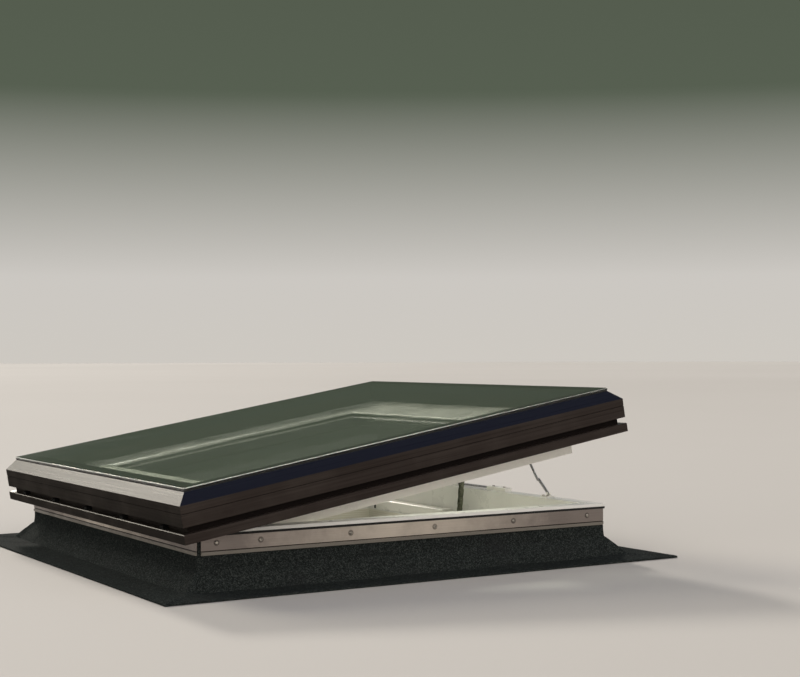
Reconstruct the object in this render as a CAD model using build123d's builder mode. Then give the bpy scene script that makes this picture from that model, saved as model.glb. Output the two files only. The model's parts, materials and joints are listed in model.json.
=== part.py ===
from build123d import *
from math import atan2, cos, degrees, hypot, radians, sin
import os

os.makedirs("parts", exist_ok=True)

# Sizes in millimetres, +Z up, origin at the middle of the footprint, hinge on the -X side

# Upstand, measured outwards from the middle of a side
strip_face = 600.0
kerb_width = 93.0
kerb_height = 38.0
felt_thickness = 4.0
flange_reach = 137.0
flare_rise = 51.0
flare_run = 44.0

# Fixed frame
frame_height = 103.0
frame_wall = 3.0
frame_floor = 4.0
rim_width = 43.0
rim_lip = 8.0
rim_overhang = 4.0
chamber_web_rise = 50.0
gasket_thickness = 5.5
gasket_overhang = 2.0

# Clamping strips
strip_thickness = 3.0
strip_height = 43.5
strip_lip_height = 8.0
strip_lip_depth = 1.2
strip_groove = 2.4
strip_groove_depth = 1.2
strip_end_gap = 6.0
strip_screw_rise = 28.0
strip_end_screw = 48.0
strip_first_screw = 162.0
strip_screw_pitch = 243.8
strip_screws_in_row = 5

# Dark cover and skirt profiles, measured with the sash closed
opening_angle = 9.713
sash_gap = 18.0
face_overhang = 52.0
face_height = 50.5
slope_run = 26.5
slope_rise = 25.0
fine_line_rise = 31.0
fine_line_width = 1.6
fine_line_depth = 1.0
cover_wall = 3.0
cover_crown = 27.5
cover_step = 20.0
skirt_sheet = 3.0
skirt_proud = 1.5
skirt_height = 23.0
skirt_lap = 2.0
skirt_edge = 1.6
groove_height = 16.0
groove_depth = 17.5

# White sash rails
sash_clearance = 8.0
sash_web = 40.0
sash_hang = 61.5
sash_flange_height = 16.0
sash_flange_gap = 6.0
reveal_run = 92.0
reveal_ledge = 10.0

# Cover glass and insulating glass unit
cover_glass_thickness = 6.0
glass_edge = 0.8
border_thickness = 0.4
border_width = 39.0
cover_seal_thickness = 3.1
cover_seal_width = 22.0
cover_seal_inset = 1.0
pane_thickness = 6.0
pane_gap = 12.0
unit_support = 20.0
unit_clearance = 6.0
spacer_width = 10.0
spacer_inset = 5.0
glazing_gasket_cover = 14.0
glazing_gasket_height = 4.0
bead_cover = 18.0
bead_back = 12.0
bead_thickness = 5.0
bead_edge = 2.0
mitre_hairline = 0.3

# Sash seal
seal_inset = 8.0
seal_base_width = 10.0
seal_base_height = 3.0
seal_stem = 3.0
seal_bulb_radius = 4.2
seal_bulb_wall = 1.2
seal_rim_gap = 0.6

# Screws
screw_radius = 2.0
screw_clearance = 0.2
pan_head_radius = 4.2
pan_head_edge = 0.9
hex_head_radius = 4.4
screw_head_height = 2.4
recess_length = 4.6
recess_width = 1.0
recess_depth = 0.9
strip_screw_length = 12.0
rim_screw_length = 11.0
ledge_screw_length = 28.0
flange_screw_length = 24.0
leaf_screw_length = 18.0
strike_screw_length = 19.0
ledge_screw_inset = 12.0
ledge_screw_pitch = 300.0
ledge_screws_in_row = 4
flange_screw_inset = 6.0
flange_screw_pitch = 200.0
flange_screws_in_row = 6

# Hinges
hinge_standoff = 22.6
hinge_drop = 13.5
hinge_leaf = 3.0
hinge_length = 120.0
hinge_spread = 400.0
knuckle_radius = 7.0
knuckle_gap = 0.5
pin_radius = 4.0
pin_clearance = 0.06
pin_head_radius = 6.0
pin_head_height = 3.0
frame_leaf_inset = 19.0
frame_leaf_screw_inset = 11.0
sash_leaf_reach = 42.6
leaf_screw_pitch = 42.0

# Strike on the opening side: two blocks and the bar between them
strike_inset = 18.0
strike_width = 24.0
strike_height = 11.0
strike_length = 354.0
strike_bevel = 1.5
strike_block_length = 95.0
strike_bar_width = 10.0
strike_bar_height = 5.5
strike_bar_rise = 3.5
strike_screw_inset = 20.0

# Chain actuator
actuator_width = 40.0
actuator_height = 30.0
actuator_edge = 3.0
housing_start = 60.0
housing_length = 395.0
head_length = 105.0
head_height = 18.0
end_cap_length = 12.0
mount_block_depth = 10.0
mount_block_length = 24.0
mount_block_height = 22.0
mount_block_first = 120.0
mount_block_pitch = 260.0
outlet_depth = 12.0
outlet_clearance = 1.0
outlet_inset = 10.0
chain_along = -20.0
chain_pitches = 15
chain_plate_width = 10.0
chain_plate_corner = 2.7
chain_plate = 1.8
chain_roller_radius = 4.2
chain_inner_width = 8.0
chain_running_gap = 0.3
chain_pivot_inset = 6.0
chain_pivot_drop = 10.0
chain_pin_radius = 2.5
bracket_ear = 3.0
bracket_plate = 3.0
bracket_length = 52.0
bracket_width = 28.0
bracket_screw_inset = 12.0
bracket_screw_spread = 38.0

# Folding stay beside the strike rail
stay_along = -362.0
stay_inset = 36.0
stay_lower_length = 56.0
stay_lower_angle = 40.0
stay_link_width = 8.0
stay_link = 2.5
stay_lap = 4.5
stay_pivot_rise = 10.0
stay_pin_radius = 2.0
stay_pin_head = 3.2
stay_pin_clearance = 0.06
stay_base_lead = 15.0
stay_base_length = 34.0
stay_base_width = 26.0
stay_screw_inset = 6.0
stay_screw_spread = 20.0
stay_side_gap = 0.5
hook_screw_inset = 14.0
hook_screw_spread = 15.0
hook_plate_margin = 10.0
hook_plate_length = 26.0

# Weep blocks in the hinge side's groove
weep_pitch = 257.0
weep_count = 5
weep_length = 22.0
weep_height = 9.0
weep_depth = 14.0

# Distances out from the middle that follow from the sizes above
felt_face = strip_face - strip_thickness
frame_face = felt_face - felt_thickness
clear_half = frame_face - kerb_width
rim_inner = frame_face - rim_width
rim_out = frame_face + rim_overhang
side_reach = strip_face + flange_reach
face_out = strip_face + face_overhang
slope_out = face_out - slope_run
cover_inner = slope_out - cover_crown
cover_back = cover_inner + cover_step
skirt_out = face_out + skirt_proud
groove_back = skirt_out - groove_depth
skirt_inner = rim_inner + skirt_lap
sash_outer = rim_inner - sash_clearance
sash_web_inner = sash_outer - sash_web
reveal_inner = sash_web_inner - reveal_run
sash_flange_out = cover_back - sash_flange_gap
unit_edge = reveal_inner + unit_support
unit_rebate = unit_edge + unit_clearance
flange_screw_out = cover_inner + flange_screw_inset
hinge_out = strip_face + hinge_standoff
strike_inner = rim_inner + strike_inset
actuator_out = rim_inner - mount_block_depth - actuator_width / 2
chain_out = actuator_out - outlet_inset
stay_lower_out = rim_inner + stay_inset

# Heights that follow from the sizes above
ledge_top = kerb_height + frame_floor
rim_top = kerb_height + frame_height
rim_underside = rim_top - rim_lip
upstand_top = rim_underside - gasket_thickness
strip_bottom = upstand_top - strip_height
chamber_web_height = kerb_height + chamber_web_rise
hinge_height = rim_top - hinge_drop
skirt_flange_bottom = rim_top + sash_gap
face_bottom = skirt_flange_bottom + skirt_sheet
face_top = face_bottom + face_height
slope_top = face_top + slope_rise
fine_line_height = face_bottom + fine_line_rise
border_bottom = slope_top + cover_seal_thickness
glass_bottom = border_bottom + border_thickness
skirt_ledge = face_bottom - groove_height
skirt_bottom = skirt_ledge - skirt_height
sash_flange_top = face_bottom + sash_flange_height
sash_bottom = rim_top - sash_hang
unit_seat = sash_flange_top - glazing_gasket_height - 2 * pane_thickness - pane_gap
reveal_height = unit_seat - reveal_ledge
plate_top = rim_top + hinge_leaf
leaf_bottom = skirt_flange_bottom - hinge_leaf
hinge_axis = Axis((-hinge_out, 0, hinge_height), (0, -1, 0))
SIDES = {"right": 0, "back": 90, "left": 180, "front": 270}


def mitred_side(outline, hollows=(), hairline=0.0):
    """One length of a profile on the +X side, cut along both mitres."""
    with BuildPart() as length:
        with BuildSketch(Plane.XZ):
            with BuildLine():
                Polyline(*outline, close=True)
            make_face()
            for hollow in hollows:
                with BuildLine():
                    Polyline(*hollow, close=True)
                make_face(mode=Mode.SUBTRACT)
        extrude(amount=side_reach, both=True)
        split(bisect_by=Plane(origin=(hairline, 0, 0), z_dir=(1, 1, 0)), keep=Keep.TOP)
        split(bisect_by=Plane(origin=(hairline, 0, 0), z_dir=(1, -1, 0)), keep=Keep.TOP)
    return length.part


def square_ring(outer, inner, bottom, top):
    """A square ring between two heights, given by its half widths."""
    with BuildPart() as ring:
        with BuildSketch(Plane.XY.offset(bottom)):
            Rectangle(2 * outer, 2 * outer)
            Rectangle(2 * inner, 2 * inner, mode=Mode.SUBTRACT)
        extrude(amount=top - bottom)
    return ring.part


def square_plate(half, bottom, top, edge=0.0):
    """A square plate, with its top edge ground by the given amount."""
    with BuildPart() as plate:
        with BuildSketch(Plane.XY.offset(bottom)):
            Rectangle(2 * half, 2 * half)
        extrude(amount=top - bottom)
        if edge:
            chamfer(plate.faces().sort_by(Axis.Z)[-1].edges(), length=edge)
    return plate.part


def bored(piece, seats, depth, radius=screw_radius + screw_clearance):
    """The piece with a round hole at each seat, reaching the depth to both sides of it."""
    with BuildPart() as result:
        add(piece)
        with Locations(*seats):
            Cylinder(radius, 2 * depth, mode=Mode.SUBTRACT)
    return result.part


def pan_screw(length):
    """A cross recessed pan head screw: the head stands on the XY plane and the shank runs down."""
    with BuildPart() as screw:
        with BuildSketch():
            Circle(pan_head_radius)
        extrude(amount=screw_head_height)
        chamfer(screw.faces().sort_by(Axis.Z)[-1].edges(), length=pan_head_edge)
        with BuildSketch(Plane.XY.offset(screw_head_height)):
            Rectangle(recess_length, recess_width)
            Rectangle(recess_width, recess_length)
        extrude(amount=-recess_depth, mode=Mode.SUBTRACT)
        with BuildSketch():
            Circle(screw_radius)
        extrude(amount=-length)
    return screw.part


def hex_screw(length):
    """A hexagon head screw, placed like the pan head one."""
    with BuildPart() as screw:
        with BuildSketch():
            RegularPolygon(hex_head_radius, 6)
        extrude(amount=screw_head_height)
        with BuildSketch():
            Circle(screw_radius)
        extrude(amount=-length)
    return screw.part


def screw_group(seats, screw):
    """Equal screws as separate solids, one at each seat."""
    with BuildPart() as group:
        with Locations(*seats):
            add(screw)
    return group.part


def seat(x, y, z, facing):
    """A screw's seat: the point under its head, and the way the head faces."""
    return Plane(origin=(x, y, z), z_dir=facing).location


def turned(place, turn):
    """A seat carried round to another side of the square."""
    return Location((0, 0, 0), (0, 0, turn)) * place


def chamber(inner, outer, bottom, top):
    """A rectangular hollow of a profile."""
    return [(inner, bottom), (outer, bottom), (outer, top), (inner, top)]


def save(piece, label, opened=False):
    """Writes one piece; a piece of the sash is first turned open about the hinge."""
    result = piece.rotate(hinge_axis, opening_angle) if opened else piece
    result.label = label
    export_step(result, f"parts/{label}.step")


# Screw seats on the +X side, turned to every side
strip_along = [strip_end_screw - strip_face]
for step in range(strip_screws_in_row):
    strip_along.append(strip_first_screw - strip_face + step * strip_screw_pitch)
strip_screw_height = strip_bottom + strip_screw_rise
strip_row = [seat(strip_face, along, strip_screw_height, (1, 0, 0)) for along in strip_along]
strip_seats = [turned(place, turn) for turn in SIDES.values() for place in strip_row]

ledge_rows = {}
for side, turn in SIDES.items():
    ledge_rows[side] = []
    for step in range(ledge_screws_in_row):
        along = (step - (ledge_screws_in_row - 1) / 2) * ledge_screw_pitch
        under_actuator = side == "right" and along > -head_length
        if not under_actuator:
            place = seat(clear_half + ledge_screw_inset, along, ledge_top, (0, 0, 1))
            ledge_rows[side].append(turned(place, turn))
ledge_seats = [place for row in ledge_rows.values() for place in row]

flange_row = []
for step in range(flange_screws_in_row):
    along = (step - (flange_screws_in_row - 1) / 2) * flange_screw_pitch
    flange_row.append(seat(flange_screw_out, along, skirt_flange_bottom, (0, 0, -1)))
flange_seats = [turned(place, turn) for turn in SIDES.values() for place in flange_row]

hinge_places = {"front": -hinge_spread, "back": hinge_spread}
leaf_row = [(step - 1) * leaf_screw_pitch for step in range(3)]
frame_leaf_inner = rim_inner + frame_leaf_inset
frame_leaf_seats = [
    seat(-frame_leaf_inner - frame_leaf_screw_inset, middle + along, plate_top, (0, 0, 1))
    for middle in hinge_places.values() for along in leaf_row
]
sash_leaf_seats = [
    seat(-flange_screw_out, middle + along, leaf_bottom, (0, 0, -1))
    for middle in hinge_places.values() for along in leaf_row
]
strike_middle = strike_inner + strike_width / 2
bar_half = strike_length / 2 - strike_block_length
strike_seats = []
for sign in (-1, 1):
    for along in (bar_half + strike_screw_inset, strike_length / 2 - strike_screw_inset):
        strike_seats.append(seat(strike_middle, sign * along, rim_top + strike_height, (0, 0, 1)))
stay_base_inner = stay_lower_out - stay_base_lead
stay_base_seats = [
    seat(stay_base_inner + stay_screw_inset, stay_along + sign * stay_screw_spread / 2, plate_top, (0, 0, 1))
    for sign in (-1, 1)
]

# Kerb timbers, butted at the corners
kerb_middle = frame_face - kerb_width / 2
kerb_plan = {
    "right": (kerb_middle, 0, kerb_width, 2 * frame_face),
    "left": (-kerb_middle, 0, kerb_width, 2 * frame_face),
    "back": (0, kerb_middle, 2 * clear_half, kerb_width),
    "front": (0, -kerb_middle, 2 * clear_half, kerb_width),
}
for side, (x, y, length, width) in kerb_plan.items():
    with BuildPart() as timber:
        with BuildSketch():
            with Locations((x, y)):
                Rectangle(length, width)
        extrude(amount=kerb_height)
    save(bored(timber.part, ledge_rows[side], ledge_screw_length), f"kerb_timber_{side}")

# Cant strips in the corner under the flare of the felt
flare_drop = flare_rise - felt_thickness
flare_length = hypot(flare_run, flare_drop)
cant_side = felt_face - felt_thickness * flare_drop / flare_length
cant_level = flare_rise - felt_thickness * flare_run / flare_length
cant_top = cant_level + (cant_side - frame_face) * flare_drop / flare_run
cant_out = cant_side + cant_level * flare_run / flare_drop
cant = mitred_side([(frame_face, 0), (cant_out, 0), (frame_face, cant_top)], hairline=mitre_hairline)
with BuildPart() as cant_strips:
    with PolarLocations(0, 4):
        add(cant)
save(cant_strips.part, "cant_strips")

# Mineral felt, welded to one skin: wall, flare and roof flange
felt_side = mitred_side([
    (frame_face, upstand_top), (frame_face, cant_top), (cant_out, 0), (side_reach, 0),
    (side_reach, felt_thickness), (felt_face + flare_run, felt_thickness),
    (felt_face, flare_rise), (felt_face, upstand_top),
])
felt_side = bored(felt_side, strip_row, strip_screw_length)
with BuildPart() as felt:
    with PolarLocations(0, 4):
        add(felt_side)
save(felt.part, "felt_flashing")

# Aluminium clamping strips, stopped short of the corners
strip_half = felt_face - strip_end_gap
lip_top = strip_bottom + strip_lip_height
strip_outline = [
    (felt_face, strip_bottom), (strip_face + strip_lip_depth, strip_bottom),
    (strip_face + strip_lip_depth, lip_top), (strip_face - strip_groove_depth, lip_top),
    (strip_face - strip_groove_depth, lip_top + strip_groove), (strip_face, lip_top + strip_groove),
    (strip_face, upstand_top), (felt_face, upstand_top),
]
with BuildPart() as strip:
    with BuildSketch(Plane.XZ):
        with BuildLine():
            Polyline(*strip_outline, close=True)
        make_face()
    extrude(amount=strip_half, both=True)
strip_with_holes = bored(strip.part, strip_row, strip_screw_length)
for side, turn in SIDES.items():
    save(strip_with_holes.rotate(Axis.Z, turn), f"clamp_strip_{side}")
save(screw_group(strip_seats, pan_screw(strip_screw_length)), "strip_screws")

# White fixed frame profiles
frame_outline = [
    (clear_half, kerb_height), (frame_face, kerb_height), (frame_face, rim_underside),
    (rim_out, rim_underside), (rim_out, rim_top), (rim_inner, rim_top), (rim_inner, ledge_top),
    (clear_half, ledge_top),
]
frame_hollows = [
    chamber(rim_inner + frame_wall, frame_face - frame_wall, ledge_top, chamber_web_height),
    chamber(rim_inner + frame_wall, frame_face - frame_wall, chamber_web_height + frame_wall,
            rim_top - frame_wall),
]
frame_side = bored(mitred_side(frame_outline, frame_hollows), strip_row, strip_screw_length)
for side, turn in SIDES.items():
    profile = bored(frame_side.rotate(Axis.Z, turn), ledge_rows[side], ledge_screw_length)
    if side == "left":
        profile = bored(profile, frame_leaf_seats, rim_screw_length)
    if side == "right":
        profile = bored(profile, stay_base_seats, rim_screw_length)
        profile = bored(profile, strike_seats, strike_screw_length)
    save(profile, f"fixed_frame_{side}")
save(screw_group(ledge_seats, hex_screw(ledge_screw_length)), "ledge_screws")
save(square_ring(rim_out + gasket_overhang, frame_face, upstand_top, rim_underside), "rim_gasket")

# Strike on the opening side's rim
block_middle = bar_half + strike_block_length / 2
with BuildPart() as strike_blocks:
    with BuildSketch(Plane.XY.offset(rim_top)):
        with Locations((strike_middle, -block_middle), (strike_middle, block_middle)):
            Rectangle(strike_width, strike_block_length)
    extrude(amount=strike_height)
    chamfer(strike_blocks.faces().group_by(Axis.Z)[-1].edges(), length=strike_bevel)
save(bored(strike_blocks.part, strike_seats, strike_screw_length), "strike_blocks")
with BuildPart() as strike_bar:
    with BuildSketch(Plane.XY.offset(rim_top + strike_bar_rise)):
        with Locations((strike_middle, 0)):
            Rectangle(strike_bar_width, 2 * bar_half)
    extrude(amount=strike_bar_height)
save(strike_bar.part, "strike_bar")
save(screw_group(strike_seats, hex_screw(strike_screw_length)), "strike_screws")

# Hinges: frame leaf with the middle knuckle, sash leaf with the outer two, and the pin
knuckle_length = hinge_length / 3 - knuckle_gap
bore_radius = pin_radius + pin_clearance
frame_leaf_web = hinge_out - knuckle_radius
sash_leaf_web = hinge_out + knuckle_radius
sash_leaf_inner = hinge_out - sash_leaf_reach
for place, middle in hinge_places.items():
    with BuildPart() as frame_leaf:
        with BuildSketch(Plane.XZ.offset(-middle)):
            with BuildLine():
                Polyline((-frame_leaf_inner, rim_top), (-frame_leaf_web, rim_top),
                         (-frame_leaf_web, plate_top), (-frame_leaf_inner, plate_top), close=True)
            make_face()
        extrude(amount=hinge_length / 2, both=True)
        with BuildSketch(Plane.XZ.offset(-middle)):
            with BuildLine():
                Polyline((-frame_leaf_web, hinge_height), (-frame_leaf_web, plate_top),
                         (-frame_leaf_web - hinge_leaf, plate_top),
                         (-frame_leaf_web - hinge_leaf, hinge_height), close=True)
            make_face()
            with Locations((-hinge_out, hinge_height)):
                Circle(knuckle_radius)
                Circle(bore_radius, mode=Mode.SUBTRACT)
        extrude(amount=knuckle_length / 2, both=True)
    save(bored(frame_leaf.part, frame_leaf_seats, rim_screw_length), f"hinge_frame_leaf_{place}")
    with BuildPart() as sash_leaf:
        with BuildSketch(Plane.XZ.offset(-middle)):
            with BuildLine():
                Polyline((-sash_leaf_inner, leaf_bottom), (-sash_leaf_web, leaf_bottom),
                         (-sash_leaf_web, skirt_flange_bottom), (-sash_leaf_inner, skirt_flange_bottom),
                         close=True)
            make_face()
        extrude(amount=hinge_length / 2, both=True)
        for sign in (-1, 1):
            outer_knuckle = middle + sign * (hinge_length / 2 - knuckle_length / 2)
            with BuildSketch(Plane.XZ.offset(-outer_knuckle)):
                with BuildLine():
                    Polyline((-sash_leaf_web, hinge_height), (-sash_leaf_web, skirt_flange_bottom),
                             (-sash_leaf_web + hinge_leaf, skirt_flange_bottom),
                             (-sash_leaf_web + hinge_leaf, hinge_height), close=True)
                make_face()
                with Locations((-hinge_out, hinge_height)):
                    Circle(knuckle_radius)
                    Circle(bore_radius, mode=Mode.SUBTRACT)
            extrude(amount=knuckle_length / 2, both=True)
    save(bored(sash_leaf.part, sash_leaf_seats, leaf_screw_length), f"hinge_sash_leaf_{place}", opened=True)
with BuildPart() as hinge_pins:
    for middle in hinge_places.values():
        with BuildSketch(Plane.XZ.offset(-middle)):
            with Locations((-hinge_out, hinge_height)):
                Circle(pin_radius)
        extrude(amount=hinge_length / 2 + knuckle_gap, both=True)
        for sign in (-1, 1):
            head_start = hinge_length / 2 + knuckle_gap
            with BuildSketch(Plane.XZ.offset(-middle + sign * (head_start + pin_head_height / 2))):
                with Locations((-hinge_out, hinge_height)):
                    Circle(pin_head_radius)
            extrude(amount=pin_head_height / 2, both=True)
save(hinge_pins.part, "hinge_pins")
save(screw_group(frame_leaf_seats + stay_base_seats, hex_screw(rim_screw_length)), "rim_screws")

# Chain actuator on the ledge of the opening side
head_top = ledge_top + head_height
with BuildPart() as housing:
    with BuildSketch(Plane.XZ.offset(-housing_start)):
        with Locations((actuator_out, ledge_top + actuator_height / 2)):
            RectangleRounded(actuator_width, actuator_height, actuator_edge)
    extrude(amount=-housing_length)
save(housing.part, "actuator_housing")
with BuildPart() as end_cap:
    with BuildSketch(Plane.XZ.offset(-housing_start - housing_length)):
        with Locations((actuator_out, ledge_top + actuator_height / 2)):
            RectangleRounded(actuator_width, actuator_height, actuator_edge)
    extrude(amount=-end_cap_length)
save(end_cap.part, "actuator_end_cap")
chain_width = chain_inner_width + 4 * chain_plate
with BuildPart() as drive_head:
    with BuildSketch(Plane.XZ.offset(-housing_start)):
        with Locations((actuator_out, ledge_top + head_height / 2)):
            RectangleRounded(actuator_width, head_height, actuator_edge)
    extrude(amount=head_length)
    with BuildSketch(Plane.XY.offset(head_top)):
        with Locations((chain_out, chain_along)):
            Rectangle(chain_plate_width + 2 * outlet_clearance, chain_width + 2 * outlet_clearance)
    extrude(amount=-outlet_depth, mode=Mode.SUBTRACT)
save(drive_head.part, "actuator_head")
mount_block_out = rim_inner - mount_block_depth / 2
with BuildPart() as mount_blocks:
    for step in range(2):
        with BuildSketch(Plane.XY.offset(ledge_top)):
            with Locations((mount_block_out, mount_block_first + step * mount_block_pitch)):
                Rectangle(mount_block_depth, mount_block_length)
        extrude(amount=mount_block_height)
save(mount_blocks.part, "actuator_mount_blocks")


def opened_point(out, height):
    """Where a point of the closed sash on the opening side comes to when the sash is open."""
    arm = hinge_out + out
    rise = height - hinge_height
    turn = radians(opening_angle)
    out = arm * cos(turn) - rise * sin(turn) - hinge_out
    height = arm * sin(turn) + rise * cos(turn) + hinge_height
    return out, height


def closed_point(out, height):
    """Where a point beside the open sash comes to when the sash is closed."""
    arm = hinge_out + out
    rise = height - hinge_height
    turn = radians(opening_angle)
    out = arm * cos(turn) + rise * sin(turn) - hinge_out
    height = rise * cos(turn) - arm * sin(turn) + hinge_height
    return out, height


# Drive chain from the outlet up to the sash bracket's pin
chain_pivot_out = sash_outer - chain_pivot_inset
pivot_z = sash_bottom - chain_pivot_drop
chain_foot = head_top - outlet_depth + chain_running_gap + chain_plate_width / 2
chain_end_x, chain_end_z = opened_point(chain_pivot_out, pivot_z)
chain_span = hypot(chain_end_x - chain_out, chain_end_z - chain_foot)
chain_lean = degrees(atan2(chain_end_x - chain_out, chain_end_z - chain_foot))
chain_pitch = chain_span / chain_pitches
plate_half = chain_plate_width / 2
plate_corner = plate_half - chain_plate_corner
eye_radius = chain_pin_radius + chain_running_gap
with BuildPart() as chain:
    for link in range(chain_pitches):
        row = chain_inner_width / 2 + chain_plate * (0.5 if link % 2 == 0 else 1.5)
        low = link * chain_pitch
        high = low + chain_pitch
        for sign in (-1, 1):
            with BuildSketch(Plane.XZ.offset(sign * row)):
                with BuildLine():
                    Polyline(
                        (-plate_corner, low - plate_half), (plate_corner, low - plate_half),
                        (plate_half, low - plate_corner), (plate_half, high + plate_corner),
                        (plate_corner, high + plate_half), (-plate_corner, high + plate_half),
                        (-plate_half, high + plate_corner), (-plate_half, low - plate_corner), close=True,
                    )
                make_face()
                if link == chain_pitches - 1:
                    with Locations((0, high)):
                        Circle(eye_radius, mode=Mode.SUBTRACT)
            extrude(amount=chain_plate / 2, both=True)
        with BuildSketch(Plane.XZ):
            with Locations((0, low)):
                RegularPolygon(chain_roller_radius, 8)
        extrude(amount=chain_width / 2, both=True)
drive_chain = Location((chain_out, chain_along, chain_foot), (0, chain_lean, 0)) * chain.part
save(drive_chain, "drive_chain")

# White sash rails
slope_inset = frame_wall * hypot(sash_web_inner - reveal_inner, reveal_height - sash_bottom)
slope_inset = slope_inset / (reveal_height - sash_bottom)
slope_rate = (sash_web_inner - reveal_inner) / (reveal_height - sash_bottom)


def slope_at(height):
    """The inner side of the wall behind the sloped reveal at a height."""
    return sash_web_inner - (height - sash_bottom) * slope_rate + slope_inset


web_low = sash_bottom + frame_wall
web_middle = (sash_bottom + unit_seat) / 2
web_high = unit_seat - frame_wall
sash_outline = [
    (sash_web_inner, sash_bottom), (sash_outer, sash_bottom), (sash_outer, face_bottom),
    (sash_flange_out, face_bottom), (sash_flange_out, sash_flange_top), (unit_rebate, sash_flange_top),
    (unit_rebate, unit_seat), (reveal_inner, unit_seat), (reveal_inner, reveal_height),
]
sash_hollows = [
    [(slope_at(web_low), web_low), (sash_outer - frame_wall, web_low),
     (sash_outer - frame_wall, web_middle), (slope_at(web_middle), web_middle)],
    [(slope_at(web_middle + frame_wall), web_middle + frame_wall),
     (sash_outer - frame_wall, web_middle + frame_wall), (sash_outer - frame_wall, web_high),
     (slope_at(reveal_height), web_high), (slope_at(reveal_height), reveal_height)],
    chamber(unit_rebate + frame_wall, sash_outer - frame_wall, unit_seat, sash_flange_top - frame_wall),
    chamber(sash_outer + frame_wall, sash_flange_out - frame_wall, face_bottom + frame_wall,
            sash_flange_top - frame_wall),
]
sash_side = bored(mitred_side(sash_outline, sash_hollows), flange_row, flange_screw_length)
bracket_bottom = sash_bottom - bracket_plate
bracket_screw_out = sash_outer - bracket_screw_inset
bracket_seats = [
    seat(bracket_screw_out, chain_along + sign * bracket_screw_spread / 2, bracket_bottom, (0, 0, -1))
    for sign in (-1, 1)
]
link_base_x = stay_lower_out - stay_lap
knuckle_rise = stay_lower_length * sin(radians(stay_lower_angle))
stay_low = rim_top + stay_pivot_rise
hook_out, knuckle_closed_z = closed_point(link_base_x, stay_low + knuckle_rise)
stay_drop = stay_low - knuckle_closed_z
lower_run = cos(radians(stay_lower_angle))
hook_offset = stay_drop ** 2 / (2 * stay_lower_length * (1 + lower_run))
hook_offset = hook_offset - stay_lower_length * (1 - lower_run) / 2
stay_upper_length = hook_offset + stay_lower_length
hook_along = stay_along + hook_offset
hook_screw_out = sash_flange_out - hook_screw_inset
hook_seats = [
    seat(hook_screw_out, hook_along + sign * hook_screw_spread / 2, leaf_bottom, (0, 0, -1))
    for sign in (-1, 1)
]
for side, turn in SIDES.items():
    profile = sash_side.rotate(Axis.Z, turn)
    if side == "left":
        profile = bored(profile, sash_leaf_seats, leaf_screw_length)
    if side == "right":
        profile = bored(profile, hook_seats, leaf_screw_length)
        profile = bored(profile, bracket_seats, leaf_screw_length)
    save(profile, f"sash_rail_{side}", opened=True)

# Dark cover profiles with the sloped top edge
line_low = fine_line_height - fine_line_width / 2
line_high = fine_line_height + fine_line_width / 2
cover_outline = [
    (face_out, face_bottom), (face_out, line_low), (face_out - fine_line_depth, line_low),
    (face_out - fine_line_depth, line_high), (face_out, line_high), (face_out, face_top),
    (slope_out, slope_top), (cover_inner, slope_top), (cover_inner, sash_flange_top),
    (cover_back, sash_flange_top), (cover_back, face_bottom),
]
bevel_inset = cover_wall * (hypot(slope_run, slope_top - face_top) - (slope_top - face_top)) / slope_run
crown_inset = cover_wall * (hypot(slope_run, slope_top - face_top) - slope_run) / (slope_top - face_top)
cover_hollow = [
    (cover_back + cover_wall, face_bottom + cover_wall),
    (face_out - cover_wall, face_bottom + cover_wall),
    (face_out - cover_wall, face_top - bevel_inset),
    (slope_out - crown_inset, slope_top - cover_wall),
    (cover_inner + cover_wall, slope_top - cover_wall),
    (cover_inner + cover_wall, sash_flange_top + cover_wall),
    (cover_back + cover_wall, sash_flange_top + cover_wall),
]
cover_side = bored(mitred_side(cover_outline, [cover_hollow]), flange_row, flange_screw_length)
for side, turn in SIDES.items():
    save(cover_side.rotate(Axis.Z, turn), f"cover_profile_{side}", opened=True)

# Dark skirt profiles below the shadow groove
skirt_outline = [
    (skirt_out, skirt_bottom), (skirt_out, skirt_ledge - skirt_edge), (skirt_out - skirt_edge, skirt_ledge),
    (groove_back, skirt_ledge), (groove_back, face_bottom), (skirt_inner, face_bottom),
    (skirt_inner, skirt_flange_bottom), (groove_back - skirt_sheet, skirt_flange_bottom),
    (groove_back - skirt_sheet, skirt_ledge - skirt_sheet),
    (skirt_out - skirt_sheet, skirt_ledge - skirt_sheet), (skirt_out - skirt_sheet, skirt_bottom),
]
skirt_side = bored(mitred_side(skirt_outline), flange_row, flange_screw_length)
for side, turn in SIDES.items():
    profile = skirt_side.rotate(Axis.Z, turn)
    if side == "left":
        profile = bored(profile, sash_leaf_seats, leaf_screw_length)
    if side == "right":
        profile = bored(profile, hook_seats, leaf_screw_length)
    save(profile, f"skirt_profile_{side}", opened=True)
save(screw_group(flange_seats, hex_screw(flange_screw_length)), "flange_screws", opened=True)
fitting_screws = screw_group(sash_leaf_seats + hook_seats + bracket_seats, hex_screw(leaf_screw_length))
save(fitting_screws, "sash_fitting_screws", opened=True)

# Weep blocks in the hinge side's groove
with BuildPart() as weep_blocks:
    for step in range(weep_count):
        with BuildSketch(Plane.XY.offset(skirt_ledge)):
            with Locations((-groove_back - weep_depth / 2, (step - (weep_count - 1) / 2) * weep_pitch)):
                Rectangle(weep_depth, weep_length)
        extrude(amount=weep_height)
save(weep_blocks.part, "weep_blocks", opened=True)

# Flat cover glass with its enamelled border, on its seal
seal_outer = slope_out - cover_seal_inset
cover_seal = square_ring(seal_outer, seal_outer - cover_seal_width, slope_top, border_bottom)
save(cover_seal, "cover_seal", opened=True)
glass_border = square_ring(seal_outer, seal_outer - border_width, border_bottom, glass_bottom)
save(glass_border, "glass_border", opened=True)
cover_glass = square_plate(slope_out, glass_bottom, glass_bottom + cover_glass_thickness, glass_edge)
save(cover_glass, "cover_glass", opened=True)

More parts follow.
